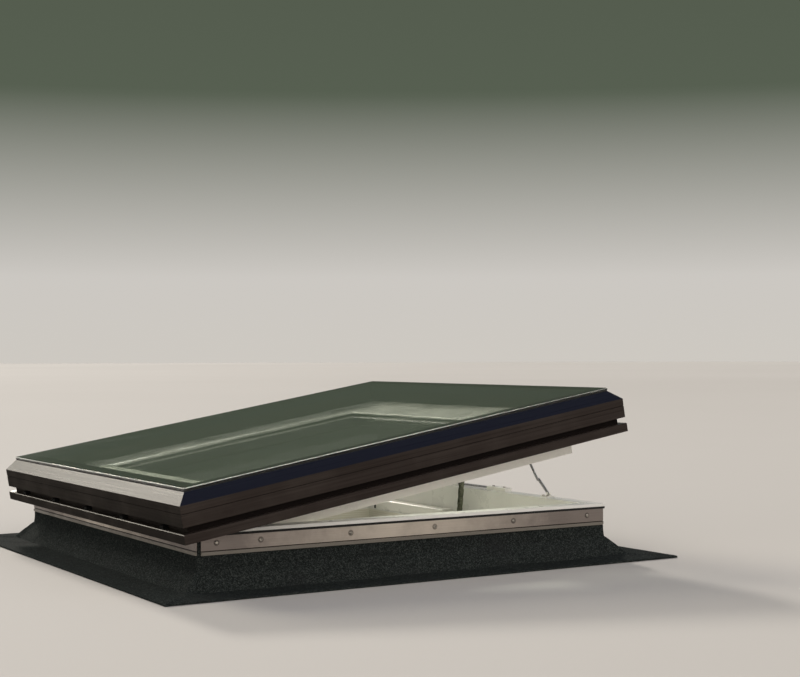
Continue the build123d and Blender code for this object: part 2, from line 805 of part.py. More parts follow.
# Insulating glass unit, its gasket and beads
inner_pane_top = unit_seat + pane_thickness
outer_pane_bottom = inner_pane_top + pane_gap
outer_pane_top = outer_pane_bottom + pane_thickness
spacer_outer = unit_edge - spacer_inset
save(square_plate(unit_edge, unit_seat, inner_pane_top), "inner_pane", opened=True)
save(square_ring(spacer_outer, spacer_outer - spacer_width, inner_pane_top, outer_pane_bottom), "pane_spacer",
     opened=True)
save(square_plate(unit_edge, outer_pane_bottom, outer_pane_top), "outer_pane", opened=True)
save(square_ring(unit_rebate, unit_edge - glazing_gasket_cover, outer_pane_top, sash_flange_top),
     "glazing_gasket", opened=True)
bead_inner = unit_edge - bead_cover
bead_outer = unit_rebate + bead_back
bead_top = sash_flange_top + bead_thickness
bead = mitred_side([
    (bead_inner, sash_flange_top), (bead_outer, sash_flange_top), (bead_outer, bead_top - bead_edge),
    (bead_outer - bead_edge, bead_top), (bead_inner + bead_edge, bead_top),
    (bead_inner, bead_top - bead_edge),
], hairline=mitre_hairline)
with BuildPart() as glazing_beads:
    with PolarLocations(0, 4):
        add(bead)
save(glazing_beads.part, "glazing_beads", opened=True)

# Sash seal with a hollow bulb, closing on the rim
bulb_height = rim_top + seal_rim_gap + seal_bulb_radius
with BuildPart() as seal_side:
    with BuildSketch(Plane.XZ):
        with Locations((rim_inner + seal_inset, skirt_flange_bottom - seal_base_height / 2)):
            Rectangle(seal_base_width, seal_base_height)
        with Locations((rim_inner + seal_inset, (skirt_flange_bottom + bulb_height) / 2)):
            Rectangle(seal_stem, skirt_flange_bottom - bulb_height)
        with Locations((rim_inner + seal_inset, bulb_height)):
            Circle(seal_bulb_radius)
            Circle(seal_bulb_radius - seal_bulb_wall, mode=Mode.SUBTRACT)
    extrude(amount=side_reach, both=True)
    split(bisect_by=Plane(origin=(mitre_hairline, 0, 0), z_dir=(1, 1, 0)), keep=Keep.TOP)
    split(bisect_by=Plane(origin=(mitre_hairline, 0, 0), z_dir=(1, -1, 0)), keep=Keep.TOP)
with BuildPart() as sash_seal:
    with PolarLocations(0, 4):
        add(seal_side.part)
save(sash_seal.part, "sash_seal", opened=True)

# Chain bracket under the sash rail, with the pin through the chain's last plates
ear_inner = chain_width / 2 + chain_running_gap
ear_outer = ear_inner + bracket_ear
with BuildPart() as chain_bracket:
    with BuildSketch(Plane.XY.offset(sash_bottom - bracket_plate)):
        with Locations((sash_outer - bracket_width / 2, chain_along)):
            Rectangle(bracket_width, bracket_length)
    extrude(amount=bracket_plate)
    for sign in (-1, 1):
        with BuildSketch(Plane.XZ.offset(-chain_along + sign * (ear_inner + bracket_ear / 2))):
            with BuildLine():
                Polyline((chain_pivot_out - plate_half, pivot_z), (chain_pivot_out + plate_half, pivot_z),
                         (chain_pivot_out + plate_half, sash_bottom - bracket_plate),
                         (chain_pivot_out - plate_half, sash_bottom - bracket_plate), close=True)
            make_face()
            with Locations((chain_pivot_out, pivot_z)):
                Circle(plate_half)
        extrude(amount=bracket_ear / 2, both=True)
    with BuildSketch(Plane.XZ.offset(-chain_along)):
        with Locations((chain_pivot_out, pivot_z)):
            Circle(chain_pin_radius)
    extrude(amount=ear_outer, both=True)
save(bored(chain_bracket.part, bracket_seats, leaf_screw_length), "chain_bracket", opened=True)

# Folding stay: base with its ear and pin, lower link, upper link, hook on the sash
link_inner = stay_lower_out - stay_link / 2
ear_face = stay_lower_out + stay_link / 2 + stay_side_gap
head_face = link_inner - stay_side_gap
with BuildPart() as stay_base:
    with BuildSketch(Plane.XY.offset(rim_top)):
        with Locations((stay_base_inner + stay_base_width / 2, stay_along)):
            Rectangle(stay_base_width, stay_base_length)
    extrude(amount=hinge_leaf)
    with BuildSketch(Plane.YZ.offset(ear_face)):
        with Locations((stay_along, (rim_top + stay_low) / 2)):
            Rectangle(2 * stay_link_width, stay_low - rim_top)
        with Locations((stay_along, stay_low)):
            Circle(stay_link_width / 2)
    extrude(amount=stay_link)
    with BuildSketch(Plane.YZ.offset(head_face)):
        with Locations((stay_along, stay_low)):
            Circle(stay_pin_radius)
    extrude(amount=ear_face - head_face)
    with BuildSketch(Plane.YZ.offset(head_face)):
        with Locations((stay_along, stay_low)):
            Circle(stay_pin_head)
    extrude(amount=-stay_link / 2)
save(bored(stay_base.part, stay_base_seats, rim_screw_length), "stay_base")


def stay_bar(out, length):
    """A stay link along +Y from its pivot, with a hole at the pivot and a rivet at the far end."""
    with BuildPart() as bar:
        with BuildSketch(Plane.YZ.offset(out)):
            with Locations((length / 2, 0)):
                SlotCenterToCenter(length, stay_link_width)
            Circle(stay_pin_radius + stay_pin_clearance, mode=Mode.SUBTRACT)
        extrude(amount=stay_link / 2, both=True)
    return bar.part


lower_link = Location((0, stay_along, stay_low), (stay_lower_angle, 0, 0)) * stay_bar(stay_lower_out,
                                                                                     stay_lower_length)
save(lower_link, "stay_lower_link")
knuckle_y = stay_along + stay_lower_length * lower_run
upper_angle = degrees(atan2(-stay_drop, knuckle_y - hook_along))
upper_link = Location((0, hook_along, stay_low), (upper_angle, 0, 0)) * stay_bar(hook_out, stay_upper_length)
save(upper_link, "stay_upper_link", opened=True)
hook_face = hook_out + stay_link / 2 + stay_side_gap
hook_head = hook_out - stay_link / 2 - stay_side_gap
hook_plate_out = hook_screw_out + hook_plate_margin
with BuildPart() as stay_hook:
    with BuildSketch(Plane.XY.offset(leaf_bottom)):
        with Locations(((hook_face + hook_plate_out) / 2, hook_along)):
            Rectangle(hook_plate_out - hook_face, hook_plate_length)
    extrude(amount=hinge_leaf)
    with BuildSketch(Plane.YZ.offset(hook_face)):
        with Locations((hook_along, (skirt_flange_bottom + stay_low) / 2)):
            Rectangle(2 * stay_link_width, skirt_flange_bottom - stay_low)
        with Locations((hook_along, stay_low)):
            Circle(stay_link_width / 2)
    extrude(amount=stay_link)
    with BuildSketch(Plane.YZ.offset(hook_head)):
        with Locations((hook_along, stay_low)):
            Circle(stay_pin_radius)
    extrude(amount=hook_face - hook_head)
    with BuildSketch(Plane.YZ.offset(hook_head)):
        with Locations((hook_along, stay_low)):
            Circle(stay_pin_head)
    extrude(amount=-stay_link / 2)
save(bored(stay_hook.part, hook_seats, leaf_screw_length), "stay_hook", opened=True)
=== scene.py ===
# %% [markdown]
# # A roof skylight with its sash open
#
# The object is a square skylight for a flat roof. A timber kerb carries a white frame, roofing
# felt is dressed up the outside of the kerb, and metal strips clamp the top of the felt. A
# dark-edged glass sash turns on two hinges and stands open on a chain drive and a folding stay.
#
# The lesson gives every one of them its finish, remakes the felt as a soft skin, and sets light
# and camera.

# %% Load the frame
import json
import math
import bmesh
import bpy
from mathutils import Matrix, Vector, noise


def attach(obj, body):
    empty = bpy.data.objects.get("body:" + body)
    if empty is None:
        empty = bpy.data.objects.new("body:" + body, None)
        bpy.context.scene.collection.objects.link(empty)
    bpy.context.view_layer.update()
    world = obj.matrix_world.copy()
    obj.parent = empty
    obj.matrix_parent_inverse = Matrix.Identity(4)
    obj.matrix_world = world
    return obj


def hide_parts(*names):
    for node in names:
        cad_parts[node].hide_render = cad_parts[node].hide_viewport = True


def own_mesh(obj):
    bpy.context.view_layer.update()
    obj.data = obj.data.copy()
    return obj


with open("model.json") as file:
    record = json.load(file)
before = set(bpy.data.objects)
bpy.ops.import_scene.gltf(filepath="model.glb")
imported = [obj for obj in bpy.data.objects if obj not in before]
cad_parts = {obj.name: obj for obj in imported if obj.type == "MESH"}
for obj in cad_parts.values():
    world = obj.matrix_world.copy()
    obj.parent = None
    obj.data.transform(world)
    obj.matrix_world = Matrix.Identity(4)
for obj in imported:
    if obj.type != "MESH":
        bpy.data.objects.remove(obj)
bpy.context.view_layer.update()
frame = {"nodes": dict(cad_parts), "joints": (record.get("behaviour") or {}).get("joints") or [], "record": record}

scene = bpy.context.scene
print("pieces from the frame:", len(frame["nodes"]))

# %% [markdown]
# ## How far the sash stands open
#
# The model rests with its sash open. The hinge's range says by how much, because its closed end
# is the lower limit. Finishes with a direction, such as brushing, use this angle so that their
# lines run along the sash and not level with the floor.

# %% Opening angle
hinge = next(joint for joint in frame["joints"] if joint["name"] == "sash_hinge")
opening = math.radians(-min(hinge["range_deg"]))
print("sash open by", round(math.degrees(opening), 2), "degrees")

# %% [markdown]
# ## The camera
#
# The picture is taken from low down, about half a metre above the roof, so the sash is seen
# almost edge on. A camera can be aimed with three angles, but it is clearer to build its three
# directions: one ahead, one to its side, and one above it. They are the columns of the camera's
# rotation.

# %% Camera
CAMERA_PLACE = (-2.0152, -3.8062, 0.5493)
YAW, PITCH, ROLL = (math.radians(angle) for angle in (31.48, 0.571, -0.154))
LENS = 67.86
SENSOR_WIDTH = 36

ahead = Vector((math.sin(YAW) * math.cos(PITCH), math.cos(YAW) * math.cos(PITCH), math.sin(PITCH)))
level_side = Vector((math.cos(YAW), -math.sin(YAW), 0))
level_above = level_side.cross(ahead)
side = level_side * math.cos(ROLL) + level_above * math.sin(ROLL)
above = level_above * math.cos(ROLL) - level_side * math.sin(ROLL)

camera_data = bpy.data.cameras.new("camera")
camera_data.sensor_width = SENSOR_WIDTH
camera_data.lens = LENS
camera = bpy.data.objects.new("camera", camera_data)
scene.collection.objects.link(camera)
scene.camera = camera
turn = Matrix((side, above, -ahead)).transposed().to_4x4()
camera.matrix_world = Matrix.Translation(CAMERA_PLACE) @ turn
print("camera height", round(camera.matrix_world.translation.z, 3))

# %% [markdown]
# ## A short way to write shader nodes
#
# A material is a small graph of nodes. Written out in full, each node takes three or four lines.
# `add` makes one in a single call: plain numbers go to its sockets as they are, and a socket of
# another node is joined to it.

# %% Node helper
def add(tree, kind, sockets=None, **settings):
    """One shader node. sockets maps an input's name or number to a value or to another socket."""
    made = tree.nodes.new("ShaderNode" + kind)
    for name, value in settings.items():
        setattr(made, name, value)
    for name, value in (sockets or {}).items():
        if isinstance(value, bpy.types.NodeSocket):
            tree.links.new(value, made.inputs[name])
        else:
            made.inputs[name].default_value = value
    return made


print("helper ready:", add.__name__)

# %% [markdown]
# ## Helpers for numbers and colours
#
# Most finishes are made from the same few steps: a pattern gives a number from 0 to 1, the number
# is stretched or worked on, and in the end it picks a colour. Each step gets a helper, which
# returns the socket that the next step needs. A Mix node has its colours at sockets 6 and 7.

# %% Number and colour helpers
def math_node(tree, operation, *values):
    """The result of one Math node on up to three values or sockets."""
    return add(tree, "Math", dict(enumerate(values)), operation=operation).outputs[0]


def spread(tree, factor, low, high, start=0.0, end=1.0):
    """Stretches a factor, so that start becomes low and end becomes high."""
    stretched = {"Value": factor, "From Min": start, "From Max": end, "To Min": low, "To Max": high}
    return add(tree, "MapRange", stretched).outputs["Result"]


def ramp(tree, factor, *stops):
    """A colour ramp on a factor. Each stop is a position and a red, green and blue."""
    made = add(tree, "ValToRGB", {"Fac": factor})
    marks = made.color_ramp.elements
    while len(marks) < len(stops):
        marks.new(1)
    for mark, (place, colour) in zip(marks, stops):
        mark.position = place
        mark.color = (*colour, 1)
    return made.outputs["Color"]


def blend(tree, share, first, second, **settings):
    """The first colour where share is 0, and the second where it is 1."""
    sockets = {"Factor": share}
    for number, colour in ((6, first), (7, second)):
        sockets[number] = (*colour, 1) if isinstance(colour, tuple) else colour
    return add(tree, "Mix", sockets, data_type="RGBA", **settings).outputs[2]


print("helpers ready:", math_node.__name__, spread.__name__, ramp.__name__, blend.__name__)

# %% [markdown]
# ## Helpers for a finish
#
# Nearly every finish has the same frame: a main shader, a cloudy pattern or two, and a relief too
# fine to be modelled. The patterns use the object's own coordinates, so they stick to the piece
# when it moves.

# %% Finish helpers
def blank(name, rough=0.5, metal=0.0):
    """A new material with its tree and its main shader."""
    material = bpy.data.materials.new(name)
    material.use_nodes = True
    shader = material.node_tree.nodes["Principled BSDF"]
    shader.inputs["Roughness"].default_value = rough
    shader.inputs["Metallic"].default_value = metal
    return material, material.node_tree, shader


def own_place(tree):
    """A point's place in the piece's own coordinates."""
    return add(tree, "TexCoord").outputs["Object"]


def cloudy(tree, place, scale, detail, roughness=0.5):
    """A cloudy pattern from 0 to 1, with scale clouds to the metre."""
    sockets = {"Vector": place, "Scale": scale, "Detail": detail, "Roughness": roughness}
    return add(tree, "TexNoise", sockets).outputs["Fac"]


def relief(tree, shader, height, strength, depth):
    """A relief too fine to be modelled, up to depth metres deep."""
    bump = add(tree, "Bump", {"Height": height, "Strength": strength, "Distance": depth})
    tree.links.new(bump.outputs["Normal"], shader.inputs["Normal"])


print("helpers ready:", blank.__name__, own_place.__name__, cloudy.__name__, relief.__name__)

# %% [markdown]
# ## Floor
#
# A plain pale floor shows the object's shadow and keeps the eye on the object. It lies a
# millimetre low, so that it never shares a plane with the felt.

# %% Floor
FLOOR_RADIUS = 90
FLOOR_EDGES = 96
FLOOR_DROP = 0.001

floor_material, tree, shader = blank("pale_floor", rough=0.9)
patches = add(tree, "TexNoise", {"Scale": 9.0, "Detail": 6.0}).outputs["Fac"]
floor_colour = ramp(tree, patches, (0.3, (0.485, 0.47, 0.445)), (0.7, (0.53, 0.515, 0.49)))
tree.links.new(floor_colour, shader.inputs["Base Color"])
shader.inputs["Specular IOR Level"].default_value = 0.1

shape = bmesh.new()
bmesh.ops.create_circle(shape, cap_ends=True, segments=FLOOR_EDGES, radius=FLOOR_RADIUS)
floor_mesh = bpy.data.meshes.new("floor")
shape.to_mesh(floor_mesh)
shape.free()
floor = bpy.data.objects.new("floor", floor_mesh)
floor.location.z = -FLOOR_DROP
floor.data.materials.append(floor_material)
scene.collection.objects.link(floor)
print("floor radius", FLOOR_RADIUS)

# %% [markdown]
# ## The studio's sky
#
# Dark metal and clear glass show mostly what they mirror, so the surroundings matter as much
# as the lamps. The world is a soft studio sky: pale at the horizon, a calm grey-green a little
# above it, which the shallow glass mirrors, then paler again, and a faint blue overhead.

# %% World
world = bpy.data.worlds.new("studio")
scene.world = world
world.use_nodes = True
tree = world.node_tree
height = add(tree, "SeparateXYZ", {0: add(tree, "TexCoord").outputs["Generated"]}).outputs["Z"]
sky = ramp(
    tree, height,
    (0.0, (0.61, 0.58, 0.535)),
    (0.05, (0.60, 0.575, 0.54)),
    (0.17, (0.095, 0.115, 0.082)),
    (0.26, (0.088, 0.105, 0.075)),
    (0.40, (0.58, 0.58, 0.58)),
    (0.60, (0.20, 0.225, 0.30)),
    (1.0, (0.17, 0.19, 0.25)),
)
tree.links.new(sky, tree.nodes["Background"].inputs["Color"])
print("world:", world.name)

# %% [markdown]
# ## Lamps
#
# One low lamp stands behind the object and a little to its right, and gives the long soft shadow
# towards the camera. A second behind it to the left is much wider, and puts a broad pale sheen on
# the left bevel. A third, wider still, stands behind the camera and keeps the shaded front
# readable. Sun lamps suit all three, because their light is the same all over a floor this wide.

# %% Lamps
def far_lamp(name, towards, energy, width, colour):
    """A lamp so far off that its light is even. width is how wide it looks, in degrees."""
    data = bpy.data.lights.new(name, "SUN")
    data.energy = energy
    data.angle = math.radians(width)
    data.color = colour
    lamp = bpy.data.objects.new(name, data)
    lamp.rotation_mode = "QUATERNION"
    lamp.rotation_quaternion = Vector(towards).to_track_quat("Z", "Y")
    scene.collection.objects.link(lamp)
    print(name, "stands", round(math.degrees(math.asin(Vector(towards).normalized().z)), 1), "degrees up")


far_lamp("key", (0.190, 0.886, 0.423), energy=1.9, width=7, colour=(1.0, 0.93, 0.84))
far_lamp("panel", (-0.22, 0.853, 0.476), energy=1.85, width=26, colour=(1.0, 0.92, 0.78))
far_lamp("fill", (-0.30, -0.95, 0.10), energy=2.8, width=140, colour=(1.0, 0.91, 0.81))
scene.view_settings.view_transform = "Standard"
print("view transform:", scene.view_settings.view_transform)

# %% [markdown]
# ## Which way a profile runs
#
# Extruded and brushed metal has fine lines along its length. The pieces on the right and left
# run along Y, those at the back and front along X, and the sash is tilted about Y. This helper
# gives the piece's own coordinates, untilted, and squeezes them so that a pattern on them is
# drawn out into lines along the run.

# %% Coordinates along a run
RUNS = {"right": "y", "back": "x", "left": "y", "front": "x"}


def untilted(tree, tilt):
    """A point's place once the piece is turned about the hinge by tilt."""
    turned = {"Vector": own_place(tree), "Center": hinge["pos_m"], "Angle": tilt}
    return add(tree, "VectorRotate", turned, rotation_type="Y_AXIS").outputs["Vector"]


def along(tree, run, tilt, lengthwise, crosswise):
    """Coordinates with this many cells of a pattern to the metre, along the run and across it."""
    cells = {"x": (lengthwise, crosswise, crosswise), "y": (crosswise, lengthwise, crosswise)}
    return add(tree, "Mapping", {"Vector": untilted(tree, tilt), "Scale": cells[run]}).outputs["Vector"]


print("runs:", RUNS)

# %% [markdown]
# ## Marks at known heights
#
# A deep groove runs round the sash between its cover and its skirt, a fine line runs along the
# cover, and the strips have a narrow groove above their lip. Where they are painted nearly black
# inside, that is painted shade. The sash's bevel is painted dark blue, a painted reflection of the
# sky, and the ledge below the deep groove keeps its shine. Each is a band of heights that lies
# inside a face. The helper measures a point's height and its distance from the middle, and
# answers 1 inside the band. For the sash the point is first turned back to where it is when the
# sash is closed.

# %% Bands of heights
GROOVE = {"low": 0.1462, "high": 0.1618, "face": 0.6515}
FINE_LINE = {"low": 0.1922, "high": 0.1938, "face": 0.6517}
BEVEL = {"low": 0.2126, "high": 0.2376, "face": 0.6519}
LEDGE = {"low": 0.1446, "high": 0.1464, "face": 0.7}
STRIP_GROOVE = {"low": 0.0921, "high": 0.0943, "face": 0.5995}
STRIP_LIP = {"low": 0.0835, "high": 0.0919, "face": 0.61}
PANE = {"low": 0.2448, "high": 0.3, "face": 0.6250}


def within(tree, place, band):
    """1 between the band's heights and inside its face, and 0 elsewhere."""
    parts = add(tree, "SeparateXYZ", {0: place}).outputs
    out = math_node(tree, "MAXIMUM", *(math_node(tree, "ABSOLUTE", parts[axis]) for axis in "XY"))
    over = math_node(tree, "GREATER_THAN", parts["Z"], band["low"])
    under = math_node(tree, "LESS_THAN", parts["Z"], band["high"])
    inside_face = math_node(tree, "LESS_THAN", out, band["face"])
    return math_node(tree, "MULTIPLY", math_node(tree, "MULTIPLY", over, under), inside_face)


print("groove from", GROOVE["low"], "to", GROOVE["high"])

# %% [markdown]
# ## Dark coated metal
#
# The cover and skirt profiles are aluminium with a powder coat, a dark brown-grey. Up close the
# coat has a fine skin like an orange's, and it is never evenly clean: faint lines along the
# profile and a little dust. Colour changes stay small, because the shine carries most of what is
# seen. The fine line on every side, and the deep groove on the sides along X, are painted
# nearly black: painted shade. The sides along Y are painted a shade darker all over, as painted
# shade, and their coat is matt except on the bevel and on the ledge below the groove. The bevel
# is painted dark blue on every side: a painted reflection of the sky.

# %% Coated finish
COAT_INDEX = 1.15
COAT_DUST = (0.12, 0.105, 0.09)
# Painted reflection: the bevel's dark blue stands in for the sky that it would mirror.
PAINTED_SKY_BLUE = (0.010, 0.0115, 0.020)
# Painted shade: the near black painted into the grooves.
GROOVE_SHADE = (0.009, 0.0065, 0.006)
MATT_COAT = 0.85


def coated(name, run, dark, pale):
    """Powder coat on the sash's profiles, between a dark and a paler colour."""
    material, tree, shader = blank(name)
    shader.inputs["IOR"].default_value = COAT_INDEX
    lines = cloudy(tree, along(tree, run, opening, lengthwise=3, crosswise=260), scale=1.0, detail=3.0)
    place = own_place(tree)
    dust = spread(tree, cloudy(tree, place, scale=9.0, detail=4.0), 0.0, 0.15, start=0.45, end=0.8)
    closed = untilted(tree, opening)
    # The bevel's band, which takes the painted reflection of the sky.
    bevel = within(tree, closed, BEVEL)
    # Painted shade in the fine line, and on the sides along X in the deep groove.
    shadow = within(tree, closed, FINE_LINE)
    if run == "x":
        shadow = math_node(tree, "MAXIMUM", shadow, within(tree, closed, GROOVE))
    dusty = blend(tree, dust, ramp(tree, lines, (0.32, dark), (0.68, pale)), COAT_DUST)
    # The bevel takes the painted sky blue, then the grooves take the painted shade.
    shaded_coat = blend(tree, shadow, blend(tree, bevel, dusty, PAINTED_SKY_BLUE), GROOVE_SHADE)
    tree.links.new(shaded_coat, shader.inputs["Base Color"])
    sheen = spread(tree, lines, 0.26, 0.32, start=0.3, end=0.7)
    if run == "y":
        glossy = math_node(tree, "MAXIMUM", bevel, within(tree, closed, LEDGE))
        choice = {"Factor": glossy, 2: MATT_COAT, 3: sheen}
        sheen = add(tree, "Mix", choice, data_type="FLOAT").outputs[0]
    rough = math_node(tree, "ADD", sheen, spread(tree, shadow, 0.0, 0.5))
    tree.links.new(rough, shader.inputs["Roughness"])
    relief(tree, shader, cloudy(tree, place, scale=700.0, detail=2.0), strength=0.25, depth=0.0002)
    return material


coat = {
    "x": coated("dark_coating_x", "x", (0.021, 0.0155, 0.0135), (0.033, 0.0255, 0.0225)),
    # The sides along Y are a darker copy of the coat: painted shade.
    "y": coated("dark_coating_y_shaded", "y", (0.011, 0.009, 0.0075), (0.018, 0.0145, 0.0125)),
}
print("coated finishes:", [m.name for m in coat.values()])

# %% [markdown]
# ## Painted shade round the strips' screws
#
# Every screw in the clamping strips gets a thin dark ring round its head, painted shade. The
# screws stand at even steps, apart from one near the strip's end, so a formula places the rings,
# and the strip needs no extra pieces. Each strip is counted the same way round the kerb, so one
# formula serves all four.

# %% Rings of painted shade
FIRST_SCREW = -0.438
END_SCREW = -0.552
SCREW_PITCH = 0.2438
SCREW_HEIGHT = 0.112
RING_START, RING_END = 0.0062, 0.0085


def round_the_loop(tree, place, run):
    """How far along its strip a point is, from the strip's middle."""
    parts = add(tree, "SeparateXYZ", {0: place}).outputs
    if run == "y":
        return math_node(tree, "MULTIPLY", parts["Y"], math_node(tree, "SIGN", parts["X"]))
    back = math_node(tree, "MULTIPLY", parts["X"], math_node(tree, "SIGN", parts["Y"]))
    return math_node(tree, "MULTIPLY", back, -1.0)


def screw_ring_shade(tree, place, travel):
    """1 at a screw's head, fading to 0 a few millimetres beyond it."""
    steps_on = math_node(tree, "SUBTRACT", travel, FIRST_SCREW)
    to_even = math_node(tree, "WRAP", steps_on, SCREW_PITCH / 2, -SCREW_PITCH / 2)
    to_end = math_node(tree, "SUBTRACT", travel, END_SCREW)
    nearest = math_node(tree, "MINIMUM", *(math_node(tree, "ABSOLUTE", gap) for gap in (to_even, to_end)))
    rise = math_node(tree, "SUBTRACT", add(tree, "SeparateXYZ", {0: place}).outputs["Z"], SCREW_HEIGHT)
    legs = (nearest, math_node(tree, "ABSOLUTE", rise))
    squares = math_node(tree, "ADD", *(math_node(tree, "POWER", leg, 2.0) for leg in legs))
    return spread(tree, math_node(tree, "SQRT", squares), 1.0, 0.0, start=RING_START, end=RING_END)


print("rings from", FIRST_SCREW, "every", SCREW_PITCH)

# %% [markdown]
# ## Brushed aluminium strips
#
# The strips are plain aluminium, brushed lengthwise and a little weathered. Brushing is a relief
# of long thin lines, and weather is a dull grey bloom that also makes the metal rougher. Besides
# the bloom, the colour is painted duller from near the middle of each strip towards its ends:
# painted light in the middle and painted shade at the ends. The lip along the bottom has dulled
# where it touches the felt. The narrow groove and the rings round the screws are painted dark,
# as painted shade. The same recipe, greyer, does for the spacer in the glass.

# %% Aluminium finish
# Where the painted light on each strip is brightest.
PAINTED_LIGHT_CENTRE = -0.03
DULL_LIP = (0.20, 0.185, 0.165)
# Painted shade in the strips' narrow groove and round their screws.
STRIP_SHADE = (0.02, 0.017, 0.015)
RING_STRENGTH = 0.55


def brushed(name, run, pale=(0.58, 0.52, 0.455), dull=(0.23, 0.20, 0.185)):
    """Brushed aluminium, pale where it is clean, dull where it has weathered, and painted duller towards its ends
    as painted shade.
    """
    material, tree, shader = blank(name, metal=1.0)
    lines = cloudy(tree, along(tree, run, 0.0, lengthwise=6, crosswise=900), scale=1.0, detail=4.0)
    place = own_place(tree)
    bloom = cloudy(tree, place, scale=11.0, detail=9.0, roughness=0.7)
    travel = round_the_loop(tree, place, run)
    away = math_node(tree, "ABSOLUTE", math_node(tree, "SUBTRACT", travel, PAINTED_LIGHT_CENTRE))
    # Painted light and shade: the colour dulls from that place towards the strip's ends.
    painted_falloff = spread(tree, away, 0.0, 1.0, start=0.05, end=0.5)
    bloom_and_painted_shade = math_node(tree, "ADD", spread(tree, bloom, 0.0, 0.25, start=0.42, end=0.72), painted_falloff)
    weathered_and_shaded = blend(tree, math_node(tree, "MINIMUM", bloom_and_painted_shade, 1.0), pale, dull)
    shade = ramp(tree, lines, (0.3, (0.86, 0.86, 0.86)), (0.7, (1.0, 1.0, 1.0)))
    tinted = blend(tree, 1.0, weathered_and_shaded, shade, blend_type="MULTIPLY")
    dulled = blend(tree, within(tree, place, STRIP_LIP), tinted, DULL_LIP)
    ringed = math_node(tree, "MULTIPLY", screw_ring_shade(tree, place, travel), RING_STRENGTH)
    # Painted shade in the narrow groove and in a ring round each screw.
    groove_and_ring_shade = math_node(tree, "MAXIMUM", within(tree, place, STRIP_GROOVE), ringed)
    tree.links.new(blend(tree, groove_and_ring_shade, dulled, STRIP_SHADE), shader.inputs["Base Color"])
    tree.links.new(spread(tree, bloom, 0.34, 0.56, start=0.35, end=0.7), shader.inputs["Roughness"])
    relief(tree, shader, lines, strength=0.3, depth=0.0001)
    return material


strip_metal = {run: brushed("strip_aluminium_" + run, run) for run in "xy"}
spacer_metal = brushed("spacer_metal", "x", (0.34, 0.34, 0.34), (0.22, 0.22, 0.22))
print("aluminium finishes:", [m.name for m in strip_metal.values()], spacer_metal.name)

# %% [markdown]
# ## Zinc plated steel
#
# Screws, hinges and the stay are zinc plated. Zinc shows small flat crystals that catch the
# light differently, so a cell pattern and a little grime drive the colour together. The chain
# uses the same recipe, darker, because it is kept oiled.

# %% Steel finishes
def plated(name, bright, deep, rough, cell=260.0):
    """Zinc plated steel, with cell crystals to the metre."""
    material, tree, shader = blank(name, metal=1.0)
    place = own_place(tree)
    crystals = add(tree, "TexVoronoi", {"Vector": place, "Scale": cell}).outputs["Color"]
    level = add(tree, "SeparateColor", {0: crystals}).outputs[0]
    grime = cloudy(tree, place, scale=60.0, detail=7.0, roughness=0.6)
    mixed = math_node(tree, "MULTIPLY", level, grime)
    tree.links.new(ramp(tree, mixed, (0.1, deep), (0.6, bright)), shader.inputs["Base Color"])
    worn = spread(tree, grime, rough - 0.08, rough + 0.16, start=0.3, end=0.7)
    tree.links.new(worn, shader.inputs["Roughness"])
    relief(tree, shader, grime, strength=0.2, depth=0.0002)
    return material


screw_steel = plated("screw_steel", (0.55, 0.51, 0.455), (0.22, 0.205, 0.185), rough=0.28)
fitting_steel = plated("fitting_steel", (0.55, 0.55, 0.57), (0.30, 0.30, 0.31), rough=0.4)
chain_steel = plated("chain_steel", (0.30, 0.31, 0.235), (0.09, 0.10, 0.07), rough=0.45, cell=900.0)
print("steel finishes:", screw_steel.name, fitting_steel.name, chain_steel.name)

# %% [markdown]
# ## White plastic frames
#
# The fixed frame and the inner sash are white plastic profiles. The plastic is satin, a little
# warm, with faint lengthwise lines from the die and some grey dust where hands and rain have
# been. A touch of subsurface light would be right for thick plastic, but a bounce of light
# between the white faces does the same here, so the shader stays simple. The fixed frame is
# painted a duller white than the sash: painted shade. The bead under the cover glass is painted
# grey-green on the hinge side, as painted shade, and made matt there.

# %% White plastic finish
SHADE_FULL = -0.415
SHADE_END = -0.400
# Painted shade: the grey-green on the hinge side's bead.
BEAD_SHADE = (0.36, 0.37, 0.30)
HINGE_MATT = 0.6


def white_plastic(name, run, tilt, clean=(0.855, 0.83, 0.77), soiled=(0.71, 0.685, 0.61), hinge_shade=0.0):
    """Satin white plastic. The last argument is how strongly the hinge side is painted shaded and made matt."""
    material, tree, shader = blank(name)
    soil = cloudy(tree, own_place(tree), scale=7.0, detail=9.0, roughness=0.65)
    lines = cloudy(tree, along(tree, run, tilt, lengthwise=2, crosswise=220), scale=1.0, detail=2.0)
    colour = blend(tree, spread(tree, soil, 0.0, 0.45, start=0.5, end=0.8), clean, soiled)
    rough = spread(tree, soil, 0.24, 0.42, start=0.35, end=0.7)
    if hinge_shade:
        across = add(tree, "SeparateXYZ", {0: untilted(tree, opening)}).outputs["X"]
        lowest = spread(tree, across, hinge_shade, 0.0, start=SHADE_FULL, end=SHADE_END)
        # The hinge side is painted grey-green as painted shade, and made matt.
        colour = blend(tree, lowest, colour, BEAD_SHADE)
        rough = math_node(tree, "ADD", rough, math_node(tree, "MULTIPLY", lowest, HINGE_MATT))
    tree.links.new(colour, shader.inputs["Base Color"])
    tree.links.new(rough, shader.inputs["Roughness"])
    relief(tree, shader, lines, strength=0.12, depth=0.0004)
    return material


